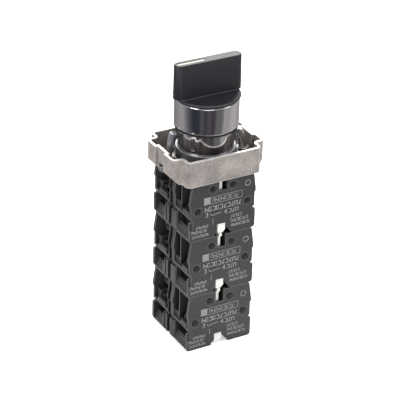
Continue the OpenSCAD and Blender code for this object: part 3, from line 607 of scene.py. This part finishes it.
def add_figure(shape, words, x, z, height):
    curve = bpy.data.curves.new("figure", "FONT")
    curve.body = words
    curve.size = height * 1.45
    curve.align_x = "CENTER"
    curve.align_y = "CENTER"
    curve.extrude = INK_RISE / 2
    curve.resolution_u = 3
    holder = bpy.data.objects.new("figure", curve)
    bpy.context.scene.collection.objects.link(holder)
    bpy.context.view_layer.update()
    mesh = bpy.data.meshes.new_from_object(holder)
    before = set(shape.verts)
    shape.from_mesh(mesh)
    made = [v for v in shape.verts if v not in before]
    bmesh.ops.rotate(shape, cent=(0, 0, 0), matrix=Matrix.Rotation(math.pi / 2, 3, "X"), verts=made)
    bmesh.ops.translate(shape, vec=(x, 0, z), verts=made)
    bpy.data.objects.remove(holder)
    bpy.data.curves.remove(curve)
    bpy.data.meshes.remove(mesh)


# %% Draw the print once


# Rows of print: left and right end, height of the middle, height of a mark, its stroke, the first mark
ROWS = [(-4.6, 8.2, 16.3, 1.5, 0.24, 0), (-7.8, 8.6, 12.75, 1.9, 0.36, 2), (2.7, 8.4, 9.95, 1.8, 0.32, 1),
        (-11.9, -5.6, 5.5, 1.15, 0.24, 3), (-13.6, -6.5, 3.75, 1.15, 0.24, 0),
        (-13.6, -4.9, 1.8, 1.15, 0.24, 1),
        (4.7, 9.6, 7.3, 1.2, 0.26, 4), (4.5, 12.2, 5.25, 1.2, 0.26, 2), (4.1, 13.2, 3.2, 1.1, 0.26, 0)]
# Lines: both ends and the width. First the outlined bar, then the open contact, then two rulers
LINES = [(-5.5, 17.75, 8.5, 17.75, 0.2), (-5.5, 14.85, 8.5, 14.85, 0.2), (8.5, 14.75, 8.5, 17.85, 0.2),
         (-5.5, 10.6, -4.95, 9.6, 0.26), (-4.95, 9.6, -0.6, 10.3, 0.26),
         (-4.25, 5.5, -4.25, 8.1, 0.22), (3.9, 4.4, 3.9, 7.9, 0.2)]
FIGURES = [("3", -7.0, 10.15, 2.1), ("4", 1.3, 9.95, 2.1)]
RING = (10.9, 20.4, 1.15, 0.36)
SQUARE_BARS = 4
SQUARE = (-7.0, 15.25, 2.9, 0.62)
SQUARE_STEP = 0.78


def label_shape():
    shape = bmesh.new()
    x, z, width, height = SQUARE
    for bar in range(SQUARE_BARS):
        add_mark(shape, x, z + SQUARE_STEP * bar, width, height)
    for row in ROWS:
        add_row(shape, *row)
    for line in LINES:
        add_line(shape, *line)
    for figure in FIGURES:
        add_figure(shape, *figure)
    add_ring(shape, *RING)
    return shape


def place_label(block):
    shape = label_shape()
    bmesh.ops.translate(shape, vec=(0, INK_SINK - INK_RISE / 2, 0), verts=shape.verts[:])
    to_place(shape, block)
    mesh = bpy.data.meshes.new("label_print_" + block)
    shape.to_mesh(mesh)
    shape.free()
    mesh.materials.append(PRINT)
    label = bpy.data.objects.new("label_print_" + block, mesh)
    bpy.context.scene.collection.objects.link(label)
    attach(label, "root")
    return label


for block in BLOCKS:
    label = place_label(block)
print("print marks on each block:", len(label.data.polygons), "faces")

# %% [markdown]
# The switch stands on the undersides of its lowest blocks on a pale floor. The floor and the world look
# white to the camera and in reflections, while a soft world and four large lamps light the switch
# from above, behind and both sides, as in a small light tent. A weak low one lifts the lowest tier.

# %% Floor
FLOOR_Z = cad_box[0][2]
FLOOR_GREY = 0.82
FLOOR_GLOW = 0.5
floor_mesh = bpy.data.meshes.new("floor")
floor_shape = bmesh.new()
bmesh.ops.create_grid(floor_shape, x_segments=1, y_segments=1, size=1.5)
bmesh.ops.translate(floor_shape, vec=(0, 0, FLOOR_Z - 0.0001), verts=floor_shape.verts[:])
floor_shape.to_mesh(floor_mesh)
floor_shape.free()
floor = bpy.data.objects.new("floor", floor_mesh)
bpy.context.scene.collection.objects.link(floor)


def floor_finish():
    material = bpy.data.materials.new("pale_floor")
    material.use_nodes = True
    tree = material.node_tree
    tree.nodes.clear()
    out = tree.nodes.new("ShaderNodeOutputMaterial")
    matt = tree.nodes.new("ShaderNodeBsdfDiffuse")
    matt.inputs["Color"].default_value = (FLOOR_GREY, FLOOR_GREY, FLOOR_GREY, 1.0)
    glow = tree.nodes.new("ShaderNodeEmission")
    path = tree.nodes.new("ShaderNodeLightPath")
    seen = tree.nodes.new("ShaderNodeMath")
    seen.operation = "MAXIMUM"
    wire(tree, path, "Is Camera Ray", seen, 0)
    wire(tree, path, "Is Transmission Ray", seen, 1)
    lift = tree.nodes.new("ShaderNodeMath")
    lift.operation = "MULTIPLY"
    lift.inputs[1].default_value = FLOOR_GLOW
    wire(tree, seen, 0, lift, 0)
    wire(tree, lift, 0, glow, "Strength")
    both = tree.nodes.new("ShaderNodeAddShader")
    wire(tree, matt, "BSDF", both, 0)
    wire(tree, glow, "Emission", both, 1)
    wire(tree, both, "Shader", out, "Surface")
    return material


floor_mesh.materials.append(floor_finish())
print("floor at", round(FLOOR_Z * 1000, 2), "mm")

# %% World
world = bpy.data.worlds.new("light_tent")
bpy.context.scene.world = world
world.use_nodes = True
world_tree = world.node_tree
world_tree.nodes.clear()
world_out = world_tree.nodes.new("ShaderNodeOutputWorld")
world_glow = world_tree.nodes.new("ShaderNodeBackground")
world_path = world_tree.nodes.new("ShaderNodeLightPath")
world_seen = world_tree.nodes.new("ShaderNodeMath")
world_seen.operation = "MAXIMUM"
wire(world_tree, world_path, "Is Camera Ray", world_seen, 0)
wire(world_tree, world_path, "Is Transmission Ray", world_seen, 1)
world_level = world_tree.nodes.new("ShaderNodeMapRange")
world_level.inputs["To Min"].default_value = 0.55
world_level.inputs["To Max"].default_value = 1.0
wire(world_tree, world_seen, 0, world_level, "Value")
wire(world_tree, world_level, "Result", world_glow, "Strength")
world_glow.inputs["Color"].default_value = (1.0, 1.0, 1.0, 1.0)
wire(world_tree, world_glow, "Background", world_out, "Surface")

# %% Lamps


def soft_lamp(name, azimuth, elevation, distance, size, power, tint=(1.0, 1.0, 1.0)):
    data = bpy.data.lights.new(name, "AREA")
    data.shape = "RECTANGLE"
    data.size = size[0]
    data.size_y = size[1]
    data.energy = power
    data.color = tint
    lamp = bpy.data.objects.new(name, data)
    bpy.context.scene.collection.objects.link(lamp)
    a, e = math.radians(azimuth), math.radians(elevation)
    target = Vector((0, 0, -0.04))
    way = Vector((math.sin(a) * math.cos(e), -math.cos(a) * math.cos(e), math.sin(e)))
    lamp.location = target + way * distance
    lamp.rotation_euler = way.to_track_quat("Z", "Y").to_euler()
    return lamp


soft_lamp("top_light", 20, 72, 0.7, (0.6, 0.5), 2.2)
soft_lamp("left_light", -75, 30, 0.8, (0.35, 0.6), 2.8)
soft_lamp("right_light", 50, 35, 0.8, (0.25, 0.6), 1.2)
soft_lamp("back_light", 150, 38, 0.8, (0.5, 0.35), 4.0)
soft_lamp("low_light", -22, 8, 0.5, (0.3, 0.1), 0.3)

# %% [markdown]
# A mirror shows what stands round it. A photographer shapes the bands on chrome with dark and pale
# cards placed just outside the picture. Here one glowing ring lies on the floor round the switch, its
# tone set point by point, and only mirror-like reflections see it, so it colours nothing else: it is a
# painted reflection, a sheet that glows though it is no lamp. The photographed bezel is pale grey at both
# sides, dark blue then brown in the middle, and has a bright line at the right. Tones flow into each
# other over some degrees, as the edges of soft cards do.

# %% Glowing ring that paints the reflections in the chrome
VIEW = -math.degrees(AZIMUTH)
DIM, SILVER, SLATE, BLUE = (140, 138, 140), (176, 172, 172), (98, 98, 104), (58, 60, 70)
DUSK, BROWN, GREY = (72, 69, 74), (98, 90, 92), (118, 116, 117)
BRIGHT, PALE = (186, 184, 184), (204, 199, 197)
TONES = [(-180, DIM), (-145, DIM), (-105, SILVER), (-88, SILVER), (-62, SLATE), (-46, BLUE), (-28, BLUE),
         (-16, SLATE), (-5, DUSK), (9, BROWN), (24, DUSK), (36, GREY), (54, GREY), (64, BRIGHT), (76, SILVER),
         (100, PALE), (116, PALE), (134, SILVER), (180, SILVER)]
RING_NEAR = 0.09
RING_FAR = 1.2
RING_RISE = 0.0006
RING_STEP = 4


def tone_at(angle):
    for (a0, c0), (a1, c1) in zip(TONES, TONES[1:]):
        if angle <= a1:
            part = (angle - a0) / (a1 - a0)
            return linear(*[x + (y - x) * part for x, y in zip(c0, c1)])
    return linear(*TONES[-1][1])


def mirror_card():
    shape = bmesh.new()
    tone = shape.verts.layers.float_color.new("tone")
    ring = []
    for angle in range(-180, 181, RING_STEP):
        a = math.radians(VIEW + angle)
        way = Vector((math.sin(a), -math.cos(a), 0))
        pair = (shape.verts.new(way * RING_NEAR), shape.verts.new(way * RING_FAR))
        for vert in pair:
            vert[tone] = tone_at(angle)
        ring.append(pair)
    for first, second in zip(ring, ring[1:]):
        shape.faces.new((first[0], first[1], second[1], second[0]))
    bmesh.ops.translate(shape, vec=(0, 0, FLOOR_Z + RING_RISE), verts=shape.verts[:])
    mesh = bpy.data.meshes.new("mirror_card")
    shape.to_mesh(mesh)
    shape.free()
    material = bpy.data.materials.new("mirror_card")
    material.use_nodes = True
    tree = material.node_tree
    tree.nodes.clear()
    out = tree.nodes.new("ShaderNodeOutputMaterial")
    # Painted reflection: the ring glows with its set tones, though it is no lamp
    glow = tree.nodes.new("ShaderNodeEmission")
    read = tree.nodes.new("ShaderNodeAttribute")
    read.attribute_name = "tone"
    wire(tree, read, "Color", glow, "Color")
    wire(tree, glow, "Emission", out, "Surface")
    mesh.materials.append(material)
    obj = bpy.data.objects.new("mirror_card", mesh)
    bpy.context.scene.collection.objects.link(obj)
    obj.visible_camera = False
    obj.visible_diffuse = False
    obj.visible_shadow = False
    obj.visible_transmission = False


mirror_card()
print("mirror card with", len(TONES), "tones")

# %% [markdown]
# The picture keeps the plain Standard view, so a colour renders about as it is written.

# %% Standard view
bpy.context.scene.view_settings.view_transform = "Standard"
